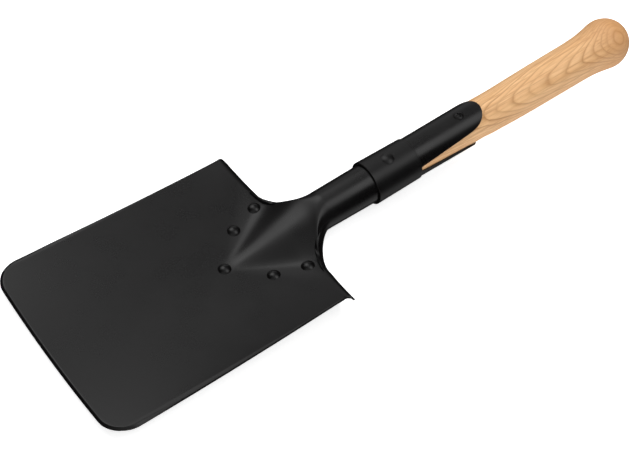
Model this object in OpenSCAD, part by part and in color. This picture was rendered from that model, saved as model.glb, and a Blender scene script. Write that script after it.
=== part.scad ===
// Camp shovel: a short fixed spade with a dished, riveted steel blade and a wooden handle.
// It lies face up. +Y runs along the handle towards the knob, +X is to the right, +Z is up.
// The sheet-metal shapes are worked out in the blade's own frame: its origin is midway
// between the two rear corners, and the corners lie at z = 0 there.

/* [Blade] */
// Width across the rear corners
blade_w = 150; // [140:1:160]
// How much wider the front is than the rear
front_flare = 8.4; // [6:0.2:10]
// Length from the rear corners to the front edge
blade_l = 180.5; // [172:0.5:190]
// Thickness of the blade sheet
sheet_t = 1.5; // [1.2:0.1:1.5]
// Radius of the two front corners
corner_r = 19; // [15:1:28]
// Depth of the crosswise hollow at the rear edge
rear_dish = 16; // [15:0.5:17]
// Depth of the crosswise hollow at the front edge
front_dish = 4.8; // [3:0.2:6]
// Depth of the lengthwise hollow
long_sag = 1.8; // [0.8:0.2:2.8]
// How far the rear edge runs back from the corners to the middle
rear_sweep = 12.2; // [11:0.2:13]
// Depth of the turned-down rear edge
flange_d = 8; // [6:0.5:8.5]
// Radius of the bend in the rear edge
flange_r = 4.5; // [4:0.5:5]

/* [Neck and tongues] */
// Where the raised ridge starts on the blade, ahead of the rear corners
ridge_tip = 44; // [42:1:46]
// Half the width of the ridge where it meets the rear edge
ridge_half_w = 29; // [27:1:30]
// Rise of the handle line above the blade, in degrees
lift = 2.6; // [2.2:0.1:3]
// Height of the handle line at the rear corners
axis_z0 = -9.8; // [-10.2:0.1:-9.4]
// Outer radius of the neck where it leaves the blade
neck_r = 13.95; // [13.8:0.05:14.1]
// Outer radius of the sheet under the collar's rear end
socket_r = 15; // [14.9:0.1:15.1]
// Distance along the handle line to the tip of both tongues
tongue_end = 168.5; // [160:0.5:180]
// Thickness of the back plate
back_t = 1.5; // [1.2:0.1:1.5]

/* [Collar] */
// Distance along the handle line to the collar's front lip
collar_start = 68.5; // [64:0.5:72]
// Length of the collar
collar_l = 38; // [34:1:42]
// Outer radius at the front lip
collar_front_r = 16.3; // [16.1:0.1:17]
// Outer radius at the rear end
collar_rear_r = 15.8; // [15.8:0.1:16.4]

/* [Handle] */
// Radius of the grip where it leaves the tongues
grip_start_r = 14.4; // [14.2:0.1:14.8]
// Radius of the grip's main length
grip_r = 15.6; // [15:0.1:16.5]
// Largest radius of the knob
knob_r = 19.1; // [18:0.1:20]
// Distance along the handle line to the widest place of the knob
knob_pos = 296; // [290:1:300]
// Distance along the handle line to the end of the knob
handle_end = 315.5; // [312:0.5:324]
// Distance along the handle line to the hidden inner end
wood_start = 36; // [32:1:40]

/* [Rivets and screws] */
// Radius of the domed blade rivet heads
rivet_r = 4.7; // [4:0.1:5]
// Height of the domed heads
rivet_h = 2.2; // [1.5:0.1:2.6]
// Radius of the shanks
shank_r = 2.4; // [2:0.1:2.6]
// Distance along the handle line to the collar rivet
collar_rivet_pos = 86; // [82:0.5:92]
// Distance along the handle line to the tongue screws
screw_pos = 151; // [146:1:156]
// Radius of the tongue screws' heads
screw_r = 3.9; // [3.4:0.1:4.2]

/* [Hidden] */

STEEL = [0.11, 0.11, 0.115];
WOOD = [0.86, 0.67, 0.46];

// Clearance between neighbouring pieces
gap = 0.05;
half_w = blade_w / 2;
neck_y = 30;
tip_l = 16;
collar_end = collar_start + collar_l;
blade_rivets = [[-31.6, -4.7], [-23.8, -27], [0, -50.3], [23.8, -27], [31.6, -4.7]];

// ---- General functions ----
function mix(a, b, s) = a + (b - a) * s;
function clamp01(s) = min(1, max(0, s));
function smooth(s) = let (c = clamp01(s)) c * c * (3 - 2 * c);
function unit(v) = v / norm(v);

// ---- The handle line ----
function axis_z(y) = axis_z0 + y * tan(lift);
function axis_point(t) = [0, t * cos(lift), axis_z0 + t * sin(lift)];

// Outer radius of the tube that both sheets make, and of the wood inside it
tongue_taper = 0.0105;
function sheet_r(t) =
    mix(neck_r, socket_r, clamp01((t - neck_y) / (collar_end - neck_y)))
    + tongue_taper * max(0, t - collar_end);
function wood_r(t) = sheet_r(t) - sheet_t - gap;

// ---- The dished plate ----
function dish(y) = mix(rear_dish, front_dish, clamp01(-y / blade_l));
function plate(x, y) =
    let (mid = blade_l / 2)
    -long_sag * (1 - pow((min(y, 0) + mid) / mid, 2))
    - dish(y) * (1 - pow(min(1, abs(x) / half_w), 2));

// Raised ridge: a flaring cone that grows into the neck
function ridge_growth(y) = clamp01((y + ridge_tip) / (neck_y + ridge_tip));
function crest_rise(y) = ridge_growth(y) * (axis_z(y) + sheet_r(y) - plate(0, y));
function ridge_half(y) = max(0.1, ridge_half_w * (y + ridge_tip) / ridge_tip);
function ridge(x, y) =
    let (q = min(1, abs(x) / ridge_half(y)))
    crest_rise(y) * pow(1 - q * q, 1.5);
function face(x, y) = plate(x, y) + ridge(x, y);

// ---- Outline of the blade's right half ----
function side_x(y) = mix(half_w, half_w + front_flare / 2, clamp01(-y / blade_l));
function rear_y(x) = rear_sweep * (1 - x / half_w);

// The shoulder's fillet runs from the rear edge into the side of the neck
fillet_x = 42;
fillet_w = 26.4;
fillet_l = 23.4;
fillet_y = rear_y(fillet_x) + fillet_l;
fillet_crest = 9;

// A row is [crest y, bend line x, bend line y, way out x, way out y, drop, neck share]
corner_rows = [for (b = [0:18:72])
    let (y = -blade_l + corner_r * (1 - cos(b)))
    [y, side_x(y) - corner_r + corner_r * sin(b) - flange_r, y, 1, 0, 0, 0]];
side_rows = [for (i = [0:5])
    let (y = mix(-blade_l + corner_r, -56, i / 5)) [y, side_x(y) - flange_r, y, 1, 0, 0, 0]];
rise_rows = [for (i = [1:4])
    let (y = mix(-56, -flange_r, i / 4))
    [mix(-56, -36, i / 4), side_x(y) - flange_r, y, 1, i == 4 ? 1 : 0, 0, 0]];
rear_rows = [for (i = [0:6])
    let (x = mix(half_w - flange_r - 1.5, fillet_x, i / 6))
    [mix(-34, fillet_crest, i / 6), x, rear_y(x) - flange_r, 0, 1, flange_d, 0]];
fillet_rows = [for (b = [12:13:90])
    [mix(fillet_crest, neck_y, sqrt(b / 90)), fillet_x - (fillet_w + flange_r) * sin(b),
        fillet_y - (fillet_l + flange_r) * cos(b), sin(b), cos(b), flange_d, smooth(b / 90)]];
neck_rows = [for (y = [neck_y + 4:8:tongue_end - tip_l - 6]) [y, 0, y, 1, 0, 0, 1]];
tip_rows = [for (b = [0:15:75]) [tongue_end - tip_l * (1 - sin(b)), 0, 0, 1, 0, 0, 1]];
blade_rows = concat(corner_rows, side_rows, rise_rows, rear_rows, fillet_rows, neck_rows,
    tip_rows);

// ---- Columns of a row: the main width, then the bend ----
main_cols = 9;
bend_cols = 4;
half_cols = main_cols + bend_cols;

// Half angle that each sheet covers: they close the neck between them, narrow or widen
// under the collar, and end in two tapering tongues with round tips
function under_collar(t) = clamp01((t - collar_start + 2) / (collar_l + 2));
function tip_round(t) =
    let (tip = clamp01((t - tongue_end + tip_l) / tip_l))
    sqrt(max(0, 1 - tip * tip));
function front_half(t) =
    (104 - 32 * under_collar(t) - 19 * clamp01((t - collar_end) / 50)) * tip_round(t);
function back_half(t) =
    (72 + 11 * under_collar(t) - 16 * clamp01((t - collar_end) / 50)) * tip_round(t);

function flat_point(row, j) =
    j <= main_cols
        ? let (u = j / main_cols, x = row[1] * u, y = row[0] + (row[2] - row[0]) * u * u)
            [x, y, face(x, y)]
        : let (b = 90 * (j - main_cols) / bend_cols)
            [row[1] + row[3] * flange_r * sin(b), row[2] + row[4] * flange_r * sin(b),
                row[5] == 0
                    ? plate(row[1] + row[3] * flange_r * sin(b), row[2])
                    : face(row[1], row[2]) - row[5] * (1 - cos(b))];

function arc_point(row, j) =
    let (a = max(12, front_half(row[0])) * j / half_cols, r = sheet_r(row[0]))
    [r * sin(a), row[0], axis_z(row[0]) + r * cos(a)];

function blade_point(row, j) = mix(flat_point(row, j), arc_point(row, j), row[6]);
function mirror_x(p) = [-p[0], p[1], p[2]];
function full_row(row) = [for (j = [-half_cols:half_cols])
    j < 0 ? mirror_x(blade_point(row, -j)) : blade_point(row, j)];

// ---- A sheet of even thickness on a grid of points ----
function grid_normal(g, i, j) =
    let (n = len(g) - 1, m = len(g[0]) - 1,
        along = g[min(n, i + 1)][j] - g[max(0, i - 1)][j],
        across = g[i][min(m, j + 1)] - g[i][max(0, j - 1)])
    unit(cross(across, along));

module sheet(g, t) {
    n = len(g);
    m = len(g[0]);
    top = [for (i = [0:n - 1]) for (j = [0:m - 1]) g[i][j]];
    low = [for (i = [0:n - 1]) for (j = [0:m - 1]) g[i][j] - t * grid_normal(g, i, j)];
    k = n * m;
    rim = concat([for (j = [0:m - 1]) j], [for (i = [1:n - 1]) i * m + m - 1],
        [for (j = [m - 2:-1:0]) (n - 1) * m + j], [for (i = [n - 2:-1:1]) i * m]);
    rim_n = len(rim);
    faces = concat(
        [for (i = [0:n - 2]) for (j = [0:m - 2]) let (a = i * m + j) [a, a + m, a + 1]],
        [for (i = [0:n - 2]) for (j = [0:m - 2]) let (a = i * m + j) [a + 1, a + m, a + m + 1]],
        [for (i = [0:n - 2]) for (j = [0:m - 2]) let (a = k + i * m + j) [a, a + 1, a + m]],
        [for (i = [0:n - 2]) for (j = [0:m - 2]) let (a = k + i * m + j) [a + 1, a + m + 1, a + m]],
        [for (i = [0:rim_n - 1]) let (a = rim[i], b = rim[(i + 1) % rim_n]) [a, b, a + k]],
        [for (i = [0:rim_n - 1]) let (a = rim[i], b = rim[(i + 1) % rim_n]) [b, b + k, a + k]]);
    polyhedron(concat(top, low), faces, convexity = 6);
}

// ---- The back plate's grid, made in the same way, facing down ----
back_top = sheet_t + gap;

// A row is [middle y, edge x, edge y, channel share]
back_plate_rows = [[-58, 5, -57.5, 0], [-56, 10, -54.5, 0], [-51, 17, -48, 0], [-43, 24, -39, 0],
    [-34, 29, -30, 0], [-25, 33, -20, 0], [-17, 36, -11, 0], [-10, 36, -5, 0.02],
    [-3, 35, 0, 0.02], [4, 29, 5, 0.08], [11, 22, 10.5, 0.3], [18, 17, 17, 0.65],
    [25, 14.5, 25, 0.93]];
back_channel_rows = [for (y = [32:8:tongue_end - tip_l - 6]) [y, 0, y, 1]];
back_tip_rows = [for (b = [0:15:75]) [tongue_end - tip_l * (1 - sin(b)), 0, 0, 1]];
back_rows = concat(back_plate_rows, back_channel_rows, back_tip_rows);
back_cols = 7;

function back_flat(row, j) =
    let (u = j / back_cols, x = row[1] * u, y = row[0] + (row[2] - row[0]) * u * u)
    [x, y, plate(x, y) - back_top - back_t];

function back_arc(row, j) =
    let (a = max(12, back_half(row[0])) * j / back_cols, r = sheet_r(row[0]))
    [r * sin(a), row[0], axis_z(row[0]) - r * cos(a)];

function back_point(row, j) = mix(back_flat(row, j), back_arc(row, j), row[3]);
function back_row(row) = [for (j = [-back_cols:back_cols])
    j < 0 ? mirror_x(back_point(row, -j)) : back_point(row, j)];

// ---- Placing pieces ----
head_h = 1.6;
collar_rivet_r = mix(collar_front_r, collar_rear_r, (collar_rivet_pos - collar_start) / collar_l);

// The shovel rests on the back plate: on its front end and on the root of the neck
front_rest = back_point(back_plate_rows[0], 0);
rear_rest = back_point(back_plate_rows[len(back_plate_rows) - 1], 0);
lie_angle = -atan2(rear_rest[2] - front_rest[2], rear_rest[1] - front_rest[1]);
function lie_y(y, z) = y * cos(lie_angle) - z * sin(lie_angle);
function lie_z(y, z) = y * sin(lie_angle) + z * cos(lie_angle);
end_point = axis_point(handle_end);
front_z = plate(side_x(-blade_l) - corner_r, -blade_l);
mid_y = (lie_y(-blade_l, front_z) + lie_y(end_point[1], end_point[2])) / 2;
low_z = lie_z(front_rest[1], front_rest[2]);

module lying() {
    translate([0, -mid_y, -low_z]) rotate([lie_angle, 0, 0]) children();
}

// Puts a shape at a distance along the handle line, its own Z pointing up out of the handle
module on_line(t) {
    translate(axis_point(t)) rotate([lift, 0, 0]) children();
}

// Turns a shape made around Z so that it runs along the handle line from its start
module along_line() {
    translate([0, 0, axis_z0]) rotate([lift - 90, 0, 0]) children();
}

module dome(r, h) {
    big = (r * r + h * h) / (2 * h);
    intersection() {
        translate([0, 0, h - big]) sphere(r = big, $fn = 64);
        cylinder(r = r, h = h + 1, $fn = 64);
    }
}

// ---- Pieces ----
module blade() {
    color(STEEL) lying() sheet([for (row = blade_rows) full_row(row)], sheet_t);
}

module back_plate() {
    rows = [for (i = [len(back_rows) - 1:-1:0]) back_row(back_rows[i])];
    color(STEEL) lying() sheet(rows, back_t);
}

module pin_hole(t, r) {
    on_line(t) translate([0, 0, -30]) cylinder(r = r, h = 60, $fn = 48);
}

module collar() {
    inner_front = sheet_r(collar_start) + gap;
    inner_rear = sheet_r(collar_end) + gap;
    ring = [[inner_front, collar_start], [collar_front_r, collar_start],
        [collar_rear_r, collar_end], [inner_rear, collar_end]];
    color(STEEL) lying() difference() {
        along_line() rotate_extrude($fn = 96) polygon(ring);
        pin_hole(collar_rivet_pos, shank_r + gap);
    }
}

// The handle's outline: a hidden cone, the grip, the flare and the round end
grip_pos = 240;
flare_start = 268;
function flare_r(t) = mix(grip_r, knob_r, smooth((t - flare_start) / (knob_pos - flare_start)));
handle_profile = concat(
    [[0, wood_start], [wood_r(wood_start), wood_start], [wood_r(collar_end), collar_end],
        [wood_r(tongue_end), tongue_end], [grip_start_r, tongue_end + 3], [grip_r, grip_pos],
        [grip_r, flare_start]],
    [for (i = [1:8]) let (t = mix(flare_start, knob_pos, i / 8)) [flare_r(t), t]],
    [for (b = [10:10:90])
        [knob_r * pow(cos(b), 0.8), knob_pos + (handle_end - knob_pos) * sin(b)]]);

module handle() {
    color(WOOD) lying() difference() {
        along_line() rotate_extrude($fn = 96) polygon(handle_profile);
        pin_hole(collar_rivet_pos, shank_r + gap);
        screw_hole(false);
        screw_hole(true);
    }
}

// Each screw goes straight into the wood through a tongue
screw_l = 11;
screw_shank_r = 1.9;

module from_side(below) {
    on_line(screw_pos) rotate([0, below ? 180 : 0, 0]) children();
}

module screw_hole(below) {
    from_side(below) translate([0, 0, wood_r(screw_pos) - screw_l])
        cylinder(r = screw_shank_r + gap, h = 30, $fn = 48);
}

module tongue_screw(below) {
    seat = sheet_r(screw_pos);
    tip = wood_r(screw_pos) - screw_l + 0.3;
    color(STEEL) lying() from_side(below) {
        difference() {
            translate([0, 0, seat - 0.3]) dome(screw_r, 1.9);
            for (turn = [0, 90])
                rotate([0, 0, turn]) translate([-2.2, -0.4, seat + 0.7]) cube([4.4, 0.8, 2]);
        }
        translate([0, 0, tip]) cylinder(r = screw_shank_r, h = seat - tip + 0.3, $fn = 48);
    }
}

module front_tongue_screw() {
    tongue_screw(false);
}

module back_tongue_screw() {
    tongue_screw(true);
}

// One rivet through the blade and the back plate
module blade_rivet(n) {
    x = blade_rivets[n - 1][0];
    y = blade_rivets[n - 1][1];
    top = face(x, y);
    depth = sheet_t + back_top + back_t;
    color(STEEL) lying() translate([x, y, top]) {
        translate([0, 0, -0.2]) dome(rivet_r, rivet_h);
        translate([0, 0, -depth]) cylinder(r = shank_r, h = depth + 0.5, $fn = 48);
        translate([0, 0, 0.2 - depth + sheet_t]) mirror([0, 0, 1]) dome(rivet_r - 0.7, 1.4);
    }
}

module blade_rivet_1() { blade_rivet(1); }
module blade_rivet_2() { blade_rivet(2); }
module blade_rivet_3() { blade_rivet(3); }
module blade_rivet_4() { blade_rivet(4); }
module blade_rivet_5() { blade_rivet(5); }

// One rivet right through the collar, both sheets and the handle
module collar_rivet() {
    color(STEEL) lying() on_line(collar_rivet_pos) {
        cylinder(r = shank_r, h = 2 * collar_rivet_r, center = true, $fn = 48);
        for (flip = [0, 1])
            mirror([0, 0, flip]) translate([0, 0, collar_rivet_r + head_h - 2]) dome(rivet_r + 0.2, 2);
    }
}

blade();
back_plate();
collar();
handle();
blade_rivet_1();
blade_rivet_2();
blade_rivet_3();
blade_rivet_4();
blade_rivet_5();
collar_rivet();
front_tongue_screw();
back_tongue_screw();
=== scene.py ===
"""Camp shovel: riveted black steel blade and socket on a turned ash handle.

Shapes are worked out in the blade's own frame, in millimetres, as the CAD model does: the origin
is midway between the two rear corners of the blade, which lie at z = 0, +Y runs towards the knob
and +Z is up. place() takes a point from there to the row frame, in metres.
"""

import math
import bpy
from mathutils import Matrix, Vector


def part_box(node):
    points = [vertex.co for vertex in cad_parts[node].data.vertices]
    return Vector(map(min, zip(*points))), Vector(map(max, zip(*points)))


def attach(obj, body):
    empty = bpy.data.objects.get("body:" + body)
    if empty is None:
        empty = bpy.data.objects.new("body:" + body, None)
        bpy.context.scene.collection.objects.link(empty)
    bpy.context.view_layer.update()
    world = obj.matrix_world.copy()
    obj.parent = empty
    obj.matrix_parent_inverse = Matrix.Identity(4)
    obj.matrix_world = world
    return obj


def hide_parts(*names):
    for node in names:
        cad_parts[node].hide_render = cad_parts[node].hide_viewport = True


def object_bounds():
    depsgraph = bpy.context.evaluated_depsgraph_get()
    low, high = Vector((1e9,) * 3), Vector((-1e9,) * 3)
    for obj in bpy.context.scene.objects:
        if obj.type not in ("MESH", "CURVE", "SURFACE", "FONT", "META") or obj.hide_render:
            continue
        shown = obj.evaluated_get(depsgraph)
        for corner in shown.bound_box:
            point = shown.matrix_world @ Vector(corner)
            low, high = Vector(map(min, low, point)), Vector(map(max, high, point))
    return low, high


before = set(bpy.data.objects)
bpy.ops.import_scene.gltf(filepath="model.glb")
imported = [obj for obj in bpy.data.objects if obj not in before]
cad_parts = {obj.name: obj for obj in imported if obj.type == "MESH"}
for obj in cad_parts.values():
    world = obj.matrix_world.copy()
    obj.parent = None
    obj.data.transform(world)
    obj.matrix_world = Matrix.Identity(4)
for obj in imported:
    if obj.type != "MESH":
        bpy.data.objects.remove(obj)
cad_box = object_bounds()

MM = 0.001

# ---- Driving sizes, as in the CAD model ----
# Blade
BLADE_W = 150.0
FRONT_FLARE = 8.4
BLADE_L = 180.5
SHEET_T = 1.5
CORNER_R = 19.0
REAR_DISH = 16.0
FRONT_DISH = 4.8
LONG_SAG = 1.8
REAR_SWEEP = 12.2
FLANGE_D = 8.0
FLANGE_R = 4.5
HALF_W = BLADE_W / 2

# Ridge, neck and tongues
RIDGE_TIP = 44.0
RIDGE_HALF_W = 29.0
LIFT = math.radians(2.6)
AXIS_Z0 = -9.8
NECK_Y = 30.0
NECK_R = 13.95
SOCKET_R = 15.0
TONGUE_TAPER = 0.0105
TONGUE_END = 168.5
TIP_L = 16.0
BACK_T = 1.5
GAP = 0.05

# Fillet from the rear edge into the side of the neck
FILLET_X = 42.0
FILLET_W = 26.4
FILLET_L = 23.4
FILLET_CREST = 9.0

# Collar and the handle's inner end
COLLAR_START = 68.5
COLLAR_END = 106.5
COLLAR_FRONT_R = 16.3
COLLAR_REAR_R = 15.8
WOOD_START = 36.0

# Rivets and screws
BLADE_RIVETS = [(-31.6, -4.7), (-23.8, -27.0), (0.0, -50.3), (23.8, -27.0), (31.6, -4.7)]
RIVET_R = 4.7
RIVET_H = 2.2
TAIL_R = 4.0
TAIL_H = 1.4
COLLAR_RIVET_POS = 86.0
SCREW_POS = 151.0

# ---- Finer shape than the CAD model has ----
# Half the angle that a sheet covers, in degrees: (on the neck, change under the collar, change past it)
FRONT_COVER = (104, -28, -18)
BACK_COVER = (72, 11, -16)
COVER_CHANGE_L = 50
LEAST_COVER = math.radians(3)
BACK_END = 164.5

# Front edge and bevelled rim
FRONT_BOW = 1.0
FRONT_BOW_L = 60
BEVEL_W = 1.9
BEVEL_D = 1.35
SIDE_BEVEL_W = 0.65
BEVEL_FADE_L = 30

# The ridge's foot on the blade, and the shallow skirt around it
FOOT_TIP = 53.0
FOOT_SPREAD = 0.76
FOOT_SETBACK = 5.5
FOOT_BLUNT = 9
FOOT_FADE_L = 8
SKIRT_SPREAD = 1.6
SKIRT_SHARE = 0.14
SHOULDER_Y = -6
SHOULDER_L = 18
CREST_BLUNT = 5
CREST_LEVEL_OFF = 0.1

# Turned-down rear lip: a tight bend, then a flat part
LIP_BACK = 5.3
LIP_BEND_R = 4.6
LIP_TURN = math.radians(62)

# Fasteners on the socket
HEAD_FOOT = 0.6
RIVET_TURN = math.radians(6)
COLLAR_RIVET_R = RIVET_R + 0.2
COLLAR_RIVET_H = 1.5
COLLAR_RIVET_SINK = 0.3
SCREW_TURN = math.radians(2)
SCREW_R = 3.7
SCREW_H = 1.5
SCREW_SINK = 0.1
CROSS_HALF_L = 2.3
CROSS_HALF_W = 0.62
CROSS_SLOPE_W = 0.25
CROSS_D = 0.8


# ---- General functions ----
def mix(a, b, s):
    return a + (b - a) * s


def clamp01(s):
    return min(1.0, max(0.0, s))


def smooth(s):
    c = clamp01(s)
    return c * c * (3 - 2 * c)


def steps(a, b, n, first=0):
    return [mix(a, b, i / n) for i in range(first, n + 1)]


def mirrored(half):
    """A whole row of points from its right half, which starts on the middle line."""
    return [Vector((-p.x, p.y, p.z)) for p in reversed(half[1:])] + half


# ---- The handle line and the move to the row frame ----
def line_point(t):
    return Vector((0, t * math.cos(LIFT), AXIS_Z0 + t * math.sin(LIFT)))


def axis_z(y):
    return AXIS_Z0 + y * math.tan(LIFT)


def middle(*nodes):
    """The middle of the box around these CAD nodes, in metres."""
    boxes = [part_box(n) for n in nodes]
    low = [min(b[0][i] for b in boxes) for i in range(3)]
    high = [max(b[1][i] for b in boxes) for i in range(3)]
    return (Vector(low) + Vector(high)) / 2


def row_frame():
    """The matrix from the blade's frame in millimetres to the row frame in metres."""
    rivet = middle("collar_rivet")
    screws = middle("front_tongue_screw", "back_tongue_screw")
    run = screws - rivet
    turn = Matrix.Rotation(math.atan2(run.z, run.y) - LIFT, 4, "X")
    start = turn @ (line_point(COLLAR_RIVET_POS) * MM)
    return Matrix.Translation(rivet - start) @ turn @ Matrix.Scale(MM, 4)


TO_ROW = row_frame()


def place(p):
    return TO_ROW @ Vector(p)


def on_line(t):
    """A matrix for a piece made in millimetres with its own Z up out of the handle line."""
    return TO_ROW @ Matrix.Translation(line_point(t)) @ Matrix.Rotation(LIFT, 4, "X")


def along_line():
    """A matrix for a piece turned around its own Z, which runs along the handle line."""
    turn = Matrix.Rotation(LIFT - math.pi / 2, 4, "X")
    return TO_ROW @ Matrix.Translation((0, 0, AXIS_Z0)) @ turn


# ---- Radii and angles along the handle line ----
def sheet_r(t):
    """Outer radius of the tube that both sheets make."""
    cone = mix(NECK_R, SOCKET_R, clamp01((t - NECK_Y) / (COLLAR_END - NECK_Y)))
    return cone + TONGUE_TAPER * max(0, t - COLLAR_END)


def wood_r(t):
    """Radius of the wood inside the tube."""
    return sheet_r(t) - SHEET_T - GAP


def under_collar(t):
    """Share of the way under the collar, from just ahead of its front end."""
    return clamp01((t - COLLAR_START + 2) / (COLLAR_END - COLLAR_START + 2))


def tip_round(t, end):
    """Share of the width that is left in the round tip of a tongue."""
    tip = clamp01((t - end + TIP_L) / TIP_L)
    return math.sqrt(max(0, 1 - tip * tip))


def half_cover(t, cover, end):
    """Half the angle that a sheet covers, in radians."""
    neck, under, past = cover
    wide = neck + under * under_collar(t) + past * clamp01((t - COLLAR_END) / COVER_CHANGE_L)
    return math.radians(wide) * tip_round(t, end)


# ---- The dished plate and its ridge ----
def plate(x, y):
    mid = BLADE_L / 2
    dish = mix(REAR_DISH, FRONT_DISH, clamp01(-y / BLADE_L))
    sag = LONG_SAG * (1 - ((min(y, 0) + mid) / mid) ** 2)
    return -sag - dish * (1 - min(1, abs(x) / HALF_W) ** 2)


def bump(x, half, power):
    """A rounded bump across x that is 1 in the middle and 0 at half its width."""
    return (1 - min(1, abs(x) / half) ** 2) ** power


def ridge_shape(x, y):
    """Share of the crest's height: a drawn foot on the blade, a plain cone at the shoulders."""
    foot_half = FOOT_SPREAD * math.hypot(y + FOOT_TIP - FOOT_SETBACK, FOOT_BLUNT)
    cone_half = max(0.1, RIDGE_HALF_W * (y + RIDGE_TIP) / RIDGE_TIP)
    foot = mix(bump(x, foot_half, 2.5), bump(x, SKIRT_SPREAD * foot_half, 2), SKIRT_SHARE)
    return mix(foot, bump(x, cone_half, 1.5), smooth((y - SHOULDER_Y) / SHOULDER_L))


def crest_growth(y):
    """Share of the neck's height that the crest has reached, with soft ends."""
    ahead = y + RIDGE_TIP
    growth = (math.hypot(ahead, CREST_BLUNT) + ahead) / 2 / (NECK_Y + RIDGE_TIP)
    level = (growth + 1 - math.hypot(growth - 1, CREST_LEVEL_OFF)) / 2
    return level * smooth((y + FOOT_TIP) / FOOT_FADE_L)


def face(x, y):
    rise = crest_growth(y) * (axis_z(y) + sheet_r(y) - plate(0, y))
    return plate(x, y) + rise * ridge_shape(x, y)


def side_x(y):
    return mix(HALF_W, HALF_W + FRONT_FLARE / 2, clamp01(-y / BLADE_L))


def rear_y(x):
    return REAR_SWEEP * (1 - x / HALF_W)


FILLET_Y = rear_y(FILLET_X) + FILLET_L


# ---- The blade as rows of points ----
MAIN_COLS = 44
BEND_COLS = 14
HALF_COLS = MAIN_COLS + BEND_COLS
# Rows lie close together across the front bevel, each at a distance from the front edge
BEVEL_ROWS = [0, 0.4, 0.8, 1.3, 1.9, 2.3, 2.9, 3.6]
# Behind this place the rows' middles start to lead their ends
LEAD_Y = -56
LEAD_CREST = -36
# How fast the strip along the side narrows to nothing at the rear corner
STRIP_NARROWING = 4
STRIP_END = 1.003
FRONT_TIP_SWEEP = math.radians(86)
BACK_TIP_SWEEP = 1.5


# A row is (crest y, bend line x, bend line y, way out x, way out y, drop, neck share, lip share)
def front_rows():
    rows = []
    for d in BEVEL_ROWS + steps(4.5, CORNER_R, 14):
        y = -BLADE_L + d
        out = math.sqrt(max(0, CORNER_R ** 2 - (CORNER_R - d) ** 2))
        rows.append((y, side_x(y) - CORNER_R + out - FLANGE_R, y, 1, 0, 0, 0, 0))
    return rows


def side_rows():
    rows = []
    for y in steps(-BLADE_L + CORNER_R, LEAD_Y, 40, 1):
        rows.append((y, side_x(y) - FLANGE_R, y, 1, 0, 0, 0, 0))
    for s in steps(0, 1, 24, 1):
        y = mix(LEAD_Y, -LIP_BACK - 0.1, s)
        strip = min(1, (STRIP_END - s) * STRIP_NARROWING)
        crest = mix(LEAD_Y, LEAD_CREST, s)
        rows.append((crest, side_x(y) - strip * FLANGE_R, y, strip, 0, 0, 0, 0))
    return rows


def lip_rows():
    rows = []
    for s in [0, 0.004, 0.012, 0.022] + steps(0, 1, 30, 1):
        x = mix(HALF_W, FILLET_X, s)
        crest = mix(LEAD_CREST + 1, FILLET_CREST, s)
        rows.append((crest, x, rear_y(x) - LIP_BACK, 0, 1, FLANGE_D, 0, 1))
    return rows


def fillet_rows():
    rows = []
    for s in steps(0, 1, 36, 1):
        b = s * math.pi / 2
        start = mix(LIP_BACK, FLANGE_R, smooth(s))
        x = FILLET_X - (FILLET_W + start) * math.sin(b)
        y = FILLET_Y - (FILLET_L + start) * math.cos(b)
        crest = mix(FILLET_CREST, NECK_Y, math.sqrt(s))
        rows.append((crest, x, y, math.sin(b), math.cos(b), FLANGE_D, smooth(s), 1 - smooth(s)))
    return rows


def neck_rows():
    rows = [(y, 0, y, 1, 0, 0, 1, 0) for y in steps(NECK_Y, TONGUE_END - TIP_L, 60, 1)]
    for s in steps(0, FRONT_TIP_SWEEP, 16, 1):
        rows.append((TONGUE_END - TIP_L * (1 - math.sin(s)), 0, 0, 1, 0, 0, 1, 0))
    return rows


def lip_profile(share):
    """How far out and down the turned-down rear lip has come at a share of its width."""
    bend = LIP_BEND_R * LIP_TURN
    arc_down = LIP_BEND_R * (1 - math.cos(LIP_TURN))
    flat = (FLANGE_D - arc_down) / math.sin(LIP_TURN)
    run = share * (bend + flat)
    turn = min(run, bend) / LIP_BEND_R
    rest = max(0, run - bend)
    return (LIP_BEND_R * math.sin(turn) + rest * math.cos(LIP_TURN),
            LIP_BEND_R * (1 - math.cos(turn)) + rest * math.sin(LIP_TURN))


def flat_point(row, j):
    """A point of the plate, or of the bend along its edge."""
    crest, bx, by, ox, oy, drop, _, lip = row
    if j <= MAIN_COLS:
        u = j / MAIN_COLS
        x = bx * u
        y = crest + (by - crest) * u * u
        return Vector((x, y, face(x, y)))
    share = (j - MAIN_COLS) / BEND_COLS
    b = math.pi / 2 * share
    lip_out, lip_down = lip_profile(share)
    out = mix(FLANGE_R * math.sin(b), lip_out, lip)
    down = mix(drop * (1 - math.cos(b)), lip_down, lip)
    x = bx + ox * out
    y = by + oy * out
    if drop == 0:
        return Vector((x, y, plate(x, y)))
    return Vector((x, y, face(bx, by) - down))


def arc_point(row, j):
    """A point of the neck's half tube."""
    t = row[0]
    a = max(LEAST_COVER, half_cover(t, FRONT_COVER, TONGUE_END)) * j / HALF_COLS
    r = sheet_r(t)
    return Vector((r * math.sin(a), t, axis_z(t) + r * math.cos(a)))


def edge_drop(x, y):
    """How far the bevelled rim is below the sheet's face at a point."""
    cx = side_x(y) - CORNER_R
    cy = -BLADE_L + CORNER_R
    width, depth = BEVEL_W, BEVEL_D
    if y < cy and abs(x) > cx:
        d = CORNER_R - math.hypot(abs(x) - cx, y - cy)
    elif y < cy:
        d = y + BLADE_L
    else:
        d = side_x(y) - abs(x)
        fade = smooth((y - cy) / BEVEL_FADE_L)
        width = mix(BEVEL_W, SIDE_BEVEL_W, fade)
        depth = mix(BEVEL_D, SIDE_BEVEL_W, fade)
    return depth * max(0.0, 1 - max(0.0, d) / width)


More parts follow.
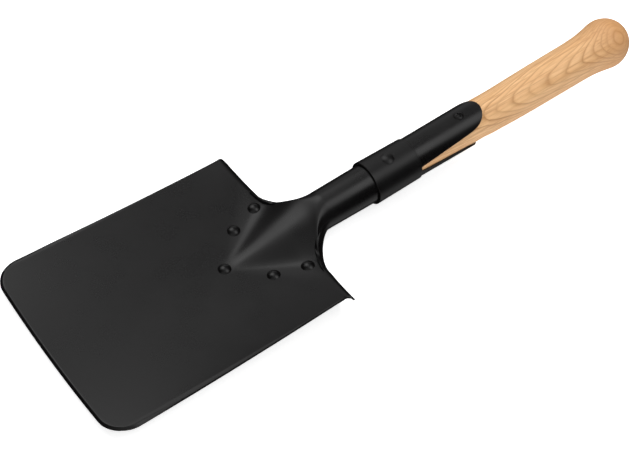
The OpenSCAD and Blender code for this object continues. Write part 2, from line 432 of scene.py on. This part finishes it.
def bowed(p):
    """Bows the front edge forward a little in its middle."""
    share = 1 - smooth((p.y + BLADE_L) / FRONT_BOW_L)
    return Vector((p.x, p.y - FRONT_BOW * share * (1 - min(1, (p.x / HALF_W) ** 2)), p.z))


def blade_grids():
    """The face of the sheet as rows of points, and how far each lies below it."""
    grid, drops = [], []
    for row in front_rows() + side_rows() + lip_rows() + fillet_rows() + neck_rows():
        drop, neck = row[5], row[6]
        half = [flat_point(row, j).lerp(arc_point(row, j), neck) for j in range(HALF_COLS + 1)]
        full = mirrored(half)
        drops.append([edge_drop(p.x, p.y) if drop == 0 and neck == 0 else 0.0 for p in full])
        grid.append([bowed(p) for p in full])
    return grid, drops


# ---- The back plate as rows of points ----
# The leaf behind the blade: (crest y, edge x, edge y, share of the neck's half tube)
BACK_ROWS = [(-58, 5, -57.5, 0), (-56, 10, -54.5, 0), (-51, 17, -48, 0), (-43, 24, -39, 0),
             (-34, 29, -30, 0), (-25, 33, -20, 0), (-17, 36, -11, 0), (-10, 36, -5, 0.02),
             (-3, 35, 0, 0.02), (4, 29, 5, 0.08), (11, 22, 10.5, 0.3), (18, 17, 17, 0.65),
             (25, 14.5, 25, 0.93)]
ROWS_BETWEEN = 4
BACK_COLS = 20


def back_rows():
    rows = []
    for a, b in zip(BACK_ROWS, BACK_ROWS[1:]):
        for s in range(ROWS_BETWEEN):
            rows.append(tuple(mix(p, q, s / ROWS_BETWEEN) for p, q in zip(a, b)))
    rows.append(BACK_ROWS[-1])
    rows += [(y, 0, y, 1) for y in steps(NECK_Y, BACK_END - TIP_L, 50)]
    for s in steps(0, BACK_TIP_SWEEP, 14, 1):
        rows.append((BACK_END - TIP_L * (1 - math.sin(s)), 0, 0, 1))
    return rows


def back_point(row, u):
    """A point of the back plate's outer face at a share of its half width."""
    crest, ex, ey, share = row
    x = ex * u
    y = crest + (ey - crest) * u * u
    flat = Vector((x, y, plate(x, y) - SHEET_T - GAP - BACK_T))
    a = max(LEAST_COVER, half_cover(crest, BACK_COVER, BACK_END)) * u
    r = sheet_r(crest)
    arc = Vector((r * math.sin(a), crest, axis_z(crest) - r * math.cos(a)))
    return flat.lerp(arc, share)


def back_grid():
    return [mirrored([back_point(row, u) for u in steps(0, 1, BACK_COLS)]) for row in back_rows()]


# ---- Meshes ----
# Rings down a sheet's rim, as shares of its thickness, and how far the rim bulges
RIM_RINGS = (0.22, 0.5, 0.78)
RIM_BULGE = 0.28
# Edges that turn by more than this stay sharp
SHARP_TURN = math.radians(40)


def new_piece(name, verts, faces):
    mesh = bpy.data.meshes.new(name)
    mesh.from_pydata([tuple(v) for v in verts], [], faces)
    mesh.validate()
    mesh.shade_smooth()
    mesh.set_sharp_from_angle(angle=SHARP_TURN)
    piece = bpy.data.objects.new(name, mesh)
    bpy.context.scene.collection.objects.link(piece)
    return piece


def grid_normals(g):
    n, m = len(g) - 1, len(g[0]) - 1
    out = []
    for i in range(n + 1):
        line = []
        for j in range(m + 1):
            along = g[min(n, i + 1)][j] - g[max(0, i - 1)][j]
            across = g[i][min(m, j + 1)] - g[i][max(0, j - 1)]
            line.append(across.cross(along).normalized())
        out.append(line)
    return out


def two_faces(n, m):
    """The top and bottom of a sheet whose n rows of m points come twice, top first."""
    k = n * m
    faces = []
    for i in range(n - 1):
        for j in range(m - 1):
            a = i * m + j
            faces.append((a, a + 1, a + m + 1, a + m))
            faces.append((k + a, k + a + m, k + a + m + 1, k + a + 1))
    return faces


def rim_path(n, m):
    """The outer points of a grid, once round."""
    path = [(0, j) for j in range(m)]
    path += [(i, m - 1) for i in range(1, n)]
    path += [(n - 1, j) for j in range(m - 2, -1, -1)]
    path += [(i, 0) for i in range(n - 2, 0, -1)]
    return path


def sheet_mesh(name, g, drops, t, flip=False):
    """A sheet of even thickness below a grid of points, with a rounded rim."""
    n, m = len(g), len(g[0])
    k = n * m
    side = -1 if flip else 1
    normals = [[v * side for v in line] for line in grid_normals(g)]
    verts = [g[i][j] - normals[i][j] * drops[i][j] for i in range(n) for j in range(m)]
    verts += [g[i][j] - normals[i][j] * t for i in range(n) for j in range(m)]
    faces = two_faces(n, m)
    rim = rim_path(n, m)
    count = len(rim)
    rings = [[i * m + j for i, j in rim]]
    for part in RIM_RINGS:
        ring = []
        for q, (i, j) in enumerate(rim):
            before, after = rim[q - 1], rim[(q + 1) % count]
            run = g[after[0]][after[1]] - g[before[0]][before[1]]
            out = run.cross(normals[i][j]).normalized() * side
            high, low = verts[i * m + j], verts[k + i * m + j]
            bulge = math.sin(part * math.pi) * RIM_BULGE * (high - low).length
            verts.append(high.lerp(low, part) + out * bulge)
            ring.append(len(verts) - 1)
        rings.append(ring)
    rings.append([k + i * m + j for i, j in rim])
    for a, b in zip(rings, rings[1:]):
        for q in range(count):
            r = (q + 1) % count
            faces.append((a[r], a[q], b[q], b[r]))
    if flip:
        faces = [tuple(reversed(f)) for f in faces]
    return new_piece(name, [place(v) for v in verts], faces)


def lathe(name, profile, matrix, around=96):
    """A closed shape turned around its own Z from (radius, height) points, in millimetres."""
    verts, faces, rings = [], [], []
    for r, z in profile:
        if r < 1e-6:
            verts.append(Vector((0, 0, z)))
            rings.append([len(verts) - 1] * around)
            continue
        start = len(verts)
        for q in range(around):
            a = 2 * math.pi * q / around
            verts.append(Vector((r * math.cos(a), r * math.sin(a), z)))
        rings.append(list(range(start, start + around)))
    for low, high in zip(rings, rings[1:]):
        for q in range(around):
            r = (q + 1) % around
            corners = [low[q], low[r], high[r], high[q]]
            unique = [c for e, c in enumerate(corners) if c not in corners[:e]]
            if len(unique) > 2:
                faces.append(tuple(unique))
    return new_piece(name, [matrix @ v for v in verts], faces)


# ---- Shader nodes ----
def node(tree, kind, inputs=None, **settings):
    """A new shader node. inputs maps a socket to a value or to another node's output."""
    made = tree.nodes.new("ShaderNode" + kind)
    for key, value in settings.items():
        setattr(made, key, value)
    for key, value in (inputs or {}).items():
        if isinstance(value, bpy.types.NodeSocket):
            tree.links.new(value, made.inputs[key])
        else:
            made.inputs[key].default_value = value
    return made


def calc(tree, operation, *values):
    return node(tree, "Math", dict(enumerate(values)), operation=operation).outputs[0]


def spread(tree, value, low, high, to_low, to_high):
    """Maps a value from one range to another, with soft ends."""
    inputs = {"Value": value, "From Min": low, "From Max": high, "To Min": to_low, "To Max": to_high}
    return node(tree, "MapRange", inputs, interpolation_type="SMOOTHSTEP").outputs[0]


def blend(tree, share, first, second):
    """A colour between two colours."""
    inputs = {0: share, 6: first, 7: second}
    return node(tree, "Mix", inputs, data_type="RGBA").outputs[2]


def speckle(tree, where, scale, detail=3.0, rough=0.5):
    inputs = {"Vector": where, "Scale": scale, "Detail": detail, "Roughness": rough}
    return node(tree, "TexNoise", inputs).outputs[0]


def stretched(tree, where, scale):
    return node(tree, "VectorMath", {0: where, 1: scale}, operation="MULTIPLY").outputs[0]


def ramp(tree, value, stops):
    """A grey curve through (position, level) stops."""
    made = node(tree, "ValToRGB", {0: value})
    elements = made.color_ramp.elements
    while len(elements) < len(stops):
        elements.new(0.5)
    for element, (position, level) in zip(elements, stops):
        element.position = position
        element.color = (level, level, level, 1)
    return made.outputs[0]


def relief(tree, height, strength):
    """A bump of up to a tenth of a millimetre."""
    inputs = {"Height": height, "Strength": strength, "Distance": 0.1 * MM}
    return node(tree, "Bump", inputs).outputs[0]


def material(name):
    m = bpy.data.materials.new(name)
    m.use_nodes = True
    return m, m.node_tree, m.node_tree.nodes["Principled BSDF"]


def connect(tree, shader, **sockets):
    for name, value in sockets.items():
        tree.links.new(value, shader.inputs[name.replace("_", " ")])


def local_mm(tree):
    """Coordinates in millimetres: X to the right, Y along the handle line, Z up out of it."""
    matrix = on_line(0)
    here = node(tree, "TexCoord").outputs["Object"]
    inputs = {"Vector": here, "Location": matrix.to_translation(),
              "Rotation": matrix.to_euler(), "Scale": matrix.to_scale()}
    return node(tree, "Mapping", inputs, vector_type="TEXTURE").outputs[0]


# ---- Materials ----
# Noise scales are per millimetre
CLOUD_SCALE = 0.035
GRAIN_SCALE = 1.9
DUST_SCALE = 0.6
DUST_SHARE = 0.05
DARK_PAINT = (0.0021, 0.0019, 0.0020, 1)
LIGHT_PAINT = (0.0033, 0.0030, 0.0031, 1)
DUST = (0.007, 0.0066, 0.0064, 1)


def black_paint(name, smoothest, dullest):
    """Satin black coating: faint cloudiness, a fine orange-peel grain and a few dull patches."""
    m, tree, shader = material(name)
    where = local_mm(tree)
    clouds = speckle(tree, where, CLOUD_SCALE, 4.0)
    grain = speckle(tree, where, GRAIN_SCALE, 2.0)
    dust = spread(tree, speckle(tree, where, DUST_SCALE, 6.0, 0.7), 0.56, 0.78, 0.0, 1.0)
    tone = spread(tree, clouds, 0.3, 0.7, 0.0, 1.0)
    color = blend(tree, tone, DARK_PAINT, LIGHT_PAINT)
    color = blend(tree, calc(tree, "MULTIPLY", dust, DUST_SHARE), color, DUST)
    dull = spread(tree, clouds, 0.25, 0.75, smoothest, dullest)
    rough = calc(tree, "MULTIPLY_ADD", grain, 0.04, dull)
    normal = relief(tree, grain, 0.08)
    connect(tree, shader, Base_Color=color, Roughness=rough, Normal=normal)
    return m


# The tree's heart ran behind the handle, slightly askew, so its rings cut the surface as arches
HEART_TURN = math.radians(42)
HEART_AWAY = 34.0
HEART_SLANT = 0.065
# One growth ring from pale early wood to dark late wood: (share of the ring, darkness)
RING_W = 1.3
RING_CURVE = [(0.0, 0.35), (0.12, 0.0), (0.5, 0.06), (0.78, 0.42), (0.92, 0.85), (1.0, 0.35)]
RING_WAVE = 2.6
# Noise scales per millimetre across, along and out of the grain
WAVE_STRETCH = (0.06, 0.016, 0.06)
PORE_STRETCH = (2.6, 0.11, 2.6)
STREAK_STRETCH = (0.5, 0.02, 0.5)
THREAD_STRETCH = (0.8, 0.009, 0.8)
PORE_SHARE = 0.26
PALE_WOOD = (0.80, 0.50, 0.255, 1)
WARM_WOOD = (0.72, 0.42, 0.20, 1)
RING_WOOD = (0.37, 0.165, 0.052, 1)
HANDLED_WOOD = (0.50, 0.24, 0.09, 1)
# The knob end is warmer from handling, between these distances along the handle line
HANDLED_FROM = 250.0
HANDLED_TO = 312.0
HANDLED_SHARE = 0.7


def ring_distance(tree, where):
    """Distance from the tree's heart, a little uneven, in millimetres."""
    parts = node(tree, "SeparateXYZ", {0: where}).outputs
    start = HEART_AWAY - HEART_SLANT * TONGUE_END
    away = calc(tree, "MULTIPLY_ADD", parts["Y"], HEART_SLANT, start)
    x = calc(tree, "MULTIPLY_ADD", away, math.sin(HEART_TURN), parts["X"])
    z = calc(tree, "MULTIPLY_ADD", away, math.cos(HEART_TURN), parts["Z"])
    flat = node(tree, "CombineXYZ", {0: x, 1: 0.0, 2: z}).outputs[0]
    far = node(tree, "VectorMath", {0: flat}, operation="LENGTH").outputs["Value"]
    wave = speckle(tree, stretched(tree, where, WAVE_STRETCH), 1.0, 2.0)
    return calc(tree, "MULTIPLY_ADD", wave, RING_WAVE, far)


def ring_lines(tree, where):
    """Darkness of the growth rings, some of them stronger than others."""
    ring = calc(tree, "DIVIDE", ring_distance(tree, where), RING_W)
    line = ramp(tree, calc(tree, "FRACT", ring), RING_CURVE)
    number = node(tree, "CombineXYZ", {0: calc(tree, "MULTIPLY", ring, 0.6)}).outputs[0]
    depth = spread(tree, speckle(tree, number, 1.0, 0.0), 0.3, 0.7, 0.35, 1.0)
    return calc(tree, "MULTIPLY", line, depth)


def ash_wood():
    """Turned ash: arched growth rings, fine pores along the grain and a thin satin oil."""
    m, tree, shader = material("ash_wood")
    where = local_mm(tree)
    line = ring_lines(tree, where)
    pores = speckle(tree, stretched(tree, where, PORE_STRETCH), 1.0, 2.0, 0.6)
    pores = spread(tree, pores, 0.52, 0.72, 0.0, 1.0)
    streak = speckle(tree, stretched(tree, where, STREAK_STRETCH), 1.0, 3.0)
    threads = speckle(tree, stretched(tree, where, THREAD_STRETCH), 1.0, 3.0, 0.6)
    threads = spread(tree, threads, 0.47, 0.68, 0.0, 0.5)
    share = calc(tree, "MULTIPLY_ADD", pores, PORE_SHARE, calc(tree, "MAXIMUM", line, threads))
    color = blend(tree, spread(tree, streak, 0.3, 0.7, 0.0, 1.0), PALE_WOOD, WARM_WOOD)
    color = blend(tree, calc(tree, "MINIMUM", share, 1.0), color, RING_WOOD)
    along = node(tree, "SeparateXYZ", {0: where}).outputs["Y"]
    handled = spread(tree, along, HANDLED_FROM, HANDLED_TO, 0.0, HANDLED_SHARE)
    color = blend(tree, handled, color, HANDLED_WOOD)
    rough = calc(tree, "MULTIPLY_ADD", share, 0.12, 0.42)
    normal = relief(tree, calc(tree, "MULTIPLY", share, -1.0), 0.25)
    connect(tree, shader, Base_Color=color, Roughness=rough, Normal=normal)
    return m


PAINT = black_paint("black_paint", 0.24, 0.30)
GRAINY_PAINT = black_paint("grainy_paint", 0.34, 0.42)
WOOD = ash_wood()


# ---- Pieces ----
def finish_piece(piece, skin, slot, *nodes):
    piece.data.materials.append(skin)
    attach(piece, "root")
    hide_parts(*nodes)


def make_blade():
    grid, drops = blade_grids()
    piece = sheet_mesh("blade_sheet", grid, drops, SHEET_T)
    finish_piece(piece, PAINT, "black_steel", "blade")


def make_back_plate():
    grid = back_grid()
    drops = [[0.0] * len(line) for line in grid]
    piece = sheet_mesh("back_plate_sheet", grid, drops, BACK_T, flip=True)
    finish_piece(piece, PAINT, "black_steel", "back_plate")


def make_collar():
    inner_front = sheet_r(COLLAR_START) + GAP
    inner_rear = sheet_r(COLLAR_END) + GAP
    soft = 0.25
    profile = [(inner_front, COLLAR_START + soft), (inner_front + soft, COLLAR_START),
               (COLLAR_FRONT_R - soft, COLLAR_START), (COLLAR_FRONT_R, COLLAR_START + soft),
               (COLLAR_REAR_R, COLLAR_END - soft), (COLLAR_REAR_R - soft, COLLAR_END),
               (inner_rear, COLLAR_END), (inner_front, COLLAR_START + soft)]
    piece = lathe("collar_ring", profile, along_line())
    finish_piece(piece, GRAINY_PAINT, "black_steel", "collar")


HANDLE_END = 314.2
# From here to the end the outline's points crowd together, as on a round end
KNOB_FRONT = 300
LEAST_R = 0.02
# The grip swells slowly and ends in a knob: (distance along the handle line, radius)
GRIP_OUTLINE = [(168.5, 14.1), (171, 14.4), (185, 14.6), (205, 15.05), (225, 15.4), (250, 15.65),
                (264, 15.8), (272, 16.1), (280, 16.8), (288, 18.1), (293, 18.95), (297, 19.1),
                (301, 18.35), (304.5, 17.0), (308, 14.8), (310.8, 12.0), (312.7, 9.0),
                (313.7, 5.6), (314.1, 2.8), (HANDLE_END, 0)]
# The grip is a little out of line with the socket: (distance, shift to the upper left)
GRIP_LEAN = [(168.5, 0), (185, -0.4), (200, -0.45), (240, -0.15), (262, 0), (280, 0.15),
             (292, 0.26), (304, 0.45), (316, 0.5)]
LEAN_TURN = math.radians(-56)


def between(table, t):
    """A smooth curve through the points of a table."""
    k = max(i for i in range(len(table) - 1) if table[i][0] <= t or i == 0)
    (t0, a), (t1, b) = table[k], table[k + 1]
    before, after = table[max(0, k - 1)], table[min(len(table) - 1, k + 2)]
    s = clamp01((t - t0) / (t1 - t0))
    rise_a = (b - before[1]) / (t1 - before[0]) * (t1 - t0)
    rise_b = (after[1] - a) / (after[0] - t0) * (t1 - t0)
    return ((2 * s ** 3 - 3 * s ** 2 + 1) * a + (s ** 3 - 2 * s ** 2 + s) * rise_a
            + (3 * s ** 2 - 2 * s ** 3) * b + (s ** 3 - s ** 2) * rise_b)


def handle_profile():
    profile = [(0, WOOD_START)]
    profile += [(wood_r(t), t) for t in steps(WOOD_START, TONGUE_END, 40)]
    profile += [(between(GRIP_OUTLINE, t), t) for t in steps(TONGUE_END, KNOB_FRONT, 110, 1)]
    for s in steps(0, math.pi / 2, 40, 1):
        t = mix(KNOB_FRONT, HANDLE_END, math.sin(s))
        profile.append((max(LEAST_R, between(GRIP_OUTLINE, t)), t))
    profile[-1] = (0, HANDLE_END)
    return profile


def make_handle():
    piece = lathe("wood_handle", handle_profile(), along_line(), around=128)
    across = on_line(0).to_quaternion() @ Vector((math.sin(LEAN_TURN), 0, math.cos(LEAN_TURN)))
    to_line = along_line().inverted()
    for v in piece.data.vertices:
        t = (to_line @ v.co).z
        if t > TONGUE_END:
            v.co += across * between(GRIP_LEAN, t) * MM
    finish_piece(piece, WOOD, "handle_wood", "handle")


def foot_profile(r, base):
    """The short round foot under a head, down to a depth of base."""
    return [(0, -base), (r * 0.98, -base), (r, -base / 2)]


def dome_profile(r, h, base):
    """A closed dome over a short round foot, from the bottom up."""
    big = (r * r + h * h) / (2 * h)
    side = math.asin(min(1, r / big))
    profile = foot_profile(r, base)
    for a in steps(side, 0, 14):
        profile.append((big * math.sin(a), h - big + big * math.cos(a)))
    profile[-1] = (0, h)
    return profile


def plate_tilt(x, y):
    """The turn from straight up to the blade's own normal at a point."""
    d = 0.5
    sx = (face(x + d, y) - face(x - d, y)) / (2 * d)
    sy = (face(x, y + d) - face(x, y - d)) / (2 * d)
    return Vector((-sx, -sy, 1)).normalized().to_track_quat("Z", "Y").to_matrix().to_4x4()


def make_blade_rivets():
    """Each rivet's domed head on the blade and its smaller closed end under the back plate."""
    head = dome_profile(RIVET_R, RIVET_H, 0.4)
    tail = dome_profile(TAIL_R, TAIL_H, 0.4)
    down = Matrix.Rotation(math.pi, 4, "X")
    for number, (x, y) in enumerate(BLADE_RIVETS, 1):
        under = plate(x, y) - SHEET_T - GAP - BACK_T
        top_seat = Matrix.Translation((x, y, face(x, y))) @ plate_tilt(x, y)
        low_seat = Matrix.Translation((x, y, under)) @ plate_tilt(x, y) @ down
        for name, profile, seat in (("head", head, top_seat), ("tail", tail, low_seat)):
            piece = lathe(f"blade_rivet_{name}_{number}", profile, TO_ROW @ seat, around=48)
            finish_piece(piece, PAINT, "black_steel", f"blade_rivet_{number}")


def on_side(t, r, turn):
    """A matrix for a piece that stands on the tube at a distance t, turned around it."""
    return on_line(t) @ Matrix.Rotation(turn, 4, "Y") @ Matrix.Translation((0, 0, r))


def make_collar_rivet():
    share = (COLLAR_RIVET_POS - COLLAR_START) / (COLLAR_END - COLLAR_START)
    out = mix(COLLAR_FRONT_R, COLLAR_REAR_R, share)
    profile = dome_profile(COLLAR_RIVET_R, COLLAR_RIVET_H, HEAD_FOOT)
    for name, turn in (("top", 0), ("bottom", math.pi)):
        seat = on_side(COLLAR_RIVET_POS, out - COLLAR_RIVET_SINK, RIVET_TURN + turn)
        piece = lathe(f"collar_rivet_{name}", profile, seat, around=48)
        finish_piece(piece, GRAINY_PAINT, "black_steel", "collar_rivet")


def screw_head_profile():
    """A low dome with enough rings to press a cross into it."""
    big = (SCREW_R ** 2 + SCREW_H ** 2) / (2 * SCREW_H)
    profile = foot_profile(SCREW_R, HEAD_FOOT)
    for r in steps(SCREW_R, 0, 30):
        profile.append((r, SCREW_H - big + math.sqrt(big ** 2 - r ** 2)))
    return profile


def press_cross(piece, seat):
    """Sinks a cross recess into the top of a screw head whose matrix is seat."""
    to_head = seat.inverted()
    for v in piece.data.vertices:
        p = to_head @ v.co
        narrow, wide = sorted((abs(p.x), abs(p.y)))
        if p.z > 0.2 and wide < CROSS_HALF_L:
            depth = CROSS_D * smooth((CROSS_HALF_W - narrow) / CROSS_SLOPE_W)
            v.co = seat @ (p - Vector((0, 0, depth)))


def make_screws():
    for name, turn in (("front", 0), ("back", math.pi)):
        seat = on_side(SCREW_POS, sheet_r(SCREW_POS) - SCREW_SINK, SCREW_TURN + turn)
        piece = lathe(f"{name}_screw_head", screw_head_profile(), seat, around=120)
        press_cross(piece, seat)
        finish_piece(piece, GRAINY_PAINT, "black_steel", f"{name}_tongue_screw")


make_blade()
make_back_plate()
make_collar()
make_handle()
make_blade_rivets()
make_collar_rivet()
make_screws()


# ---- Floor, light and camera ----
FLOOR_HALF = 3.0
FLOOR_GLOW = 0.7
# Soft panels all round: (direction in the blade's frame, inner and outer angle, brightness)
PANELS = [((-0.63, -0.01, 0.77), 10, 26, 1.42),
          ((0.475, 0.386, 0.79), 4, 25, 1.54),
          ((-0.33, 0.05, 0.94), 8, 24, 0.60),
          ((0.20, 0.10, 0.97), 8, 26, 0.38),
          ((-0.10, 0.48, 0.87), 8, 26, 0.17),
          ((-0.06, -0.20, 0.975), 8, 22, 0.07),
          ((-0.82, 0.25, 0.50), 8, 26, 0.09),
          ((-0.75, 0.60, 0.25), 8, 26, 0.36),
          ((0.52, 0.386, -0.76), 6, 32, 0.40),
          ((0.60, -0.68, 0.42), 14, 56, 0.40)]
# Light that comes from everywhere else
DIM = 0.012
# The camera in the blade's frame: its place in millimetres, and its own X and Z directions
CAMERA_SPOT = (477.2, -326.1, 668.0)
CAMERA_RIGHT = (0.590896, 0.806747, 0.001136)
CAMERA_BACK = (0.525476, -0.385948, 0.758235)
CAMERA_LENS = 75.0


def make_floor():
    """A matt white floor at the height of the model's lowest point."""
    size = FLOOR_HALF
    low = cad_box[0][2]
    verts = [(-size, -size, low), (size, -size, low), (size, size, low), (-size, size, low)]
    floor = new_piece("floor", verts, [(0, 1, 2, 3)])
    m, _, shader = material("floor_white")
    shader.inputs["Base Color"].default_value = (0.9, 0.9, 0.9, 1)
    shader.inputs["Roughness"].default_value = 0.9
    shader.inputs["Emission Color"].default_value = (1, 1, 1, 1)
    shader.inputs["Emission Strength"].default_value = FLOOR_GLOW
    floor.data.materials.append(m)
    floor.visible_glossy = False


def make_world():
    """The panels that the paint reflects, each a soft round patch of light."""
    world = bpy.data.worlds.new("studio")
    world.use_nodes = True
    tree = world.node_tree
    turn = TO_ROW.to_quaternion()
    look = node(tree, "TexCoord").outputs["Generated"]
    total = DIM
    for direction, inner, outer, level in PANELS:
        aim = turn @ Vector(direction).normalized()
        near = node(tree, "VectorMath", {0: look, 1: aim}, operation="DOT_PRODUCT").outputs["Value"]
        edge = math.cos(math.radians(outer))
        core = math.cos(math.radians(inner))
        total = calc(tree, "ADD", spread(tree, near, edge, core, 0.0, level), total)
    back = tree.nodes["Background"]
    back.inputs["Color"].default_value = (1, 1, 1, 1)
    tree.links.new(total, back.inputs["Strength"])
    bpy.context.scene.world = world


def make_area(name, spot, size, power):
    """A soft lamp that lights the wood and the floor but leaves no mark in the paint."""
    data = bpy.data.lights.new(name, "AREA")
    data.shape = "DISK"
    data.size = size
    data.energy = power
    light = bpy.data.objects.new(name, data)
    light.location = spot
    light.rotation_euler = (-Vector(spot)).to_track_quat("-Z", "Y").to_euler()
    light.visible_glossy = False
    bpy.context.scene.collection.objects.link(light)


def make_light():
    make_world()
    make_area("key", (-0.3, 0.45, 1.4), 1.0, 16.4)
    make_area("fill", (0.9, -0.7, 1.0), 1.2, 4.5)


def make_camera():
    data = bpy.data.cameras.new("camera")
    data.sensor_width = 36
    data.lens = CAMERA_LENS
    camera = bpy.data.objects.new("camera", data)
    right = Vector(CAMERA_RIGHT)
    back = Vector(CAMERA_BACK)
    turn = Matrix((right, back.cross(right), back)).transposed().to_4x4()
    to_row = TO_ROW.to_quaternion().to_matrix().to_4x4()
    camera.matrix_world = Matrix.Translation(place(CAMERA_SPOT)) @ to_row @ turn
    bpy.context.scene.collection.objects.link(camera)
    bpy.context.scene.camera = camera


make_floor()
make_light()
make_camera()
bpy.context.scene.view_settings.view_transform = "Standard"
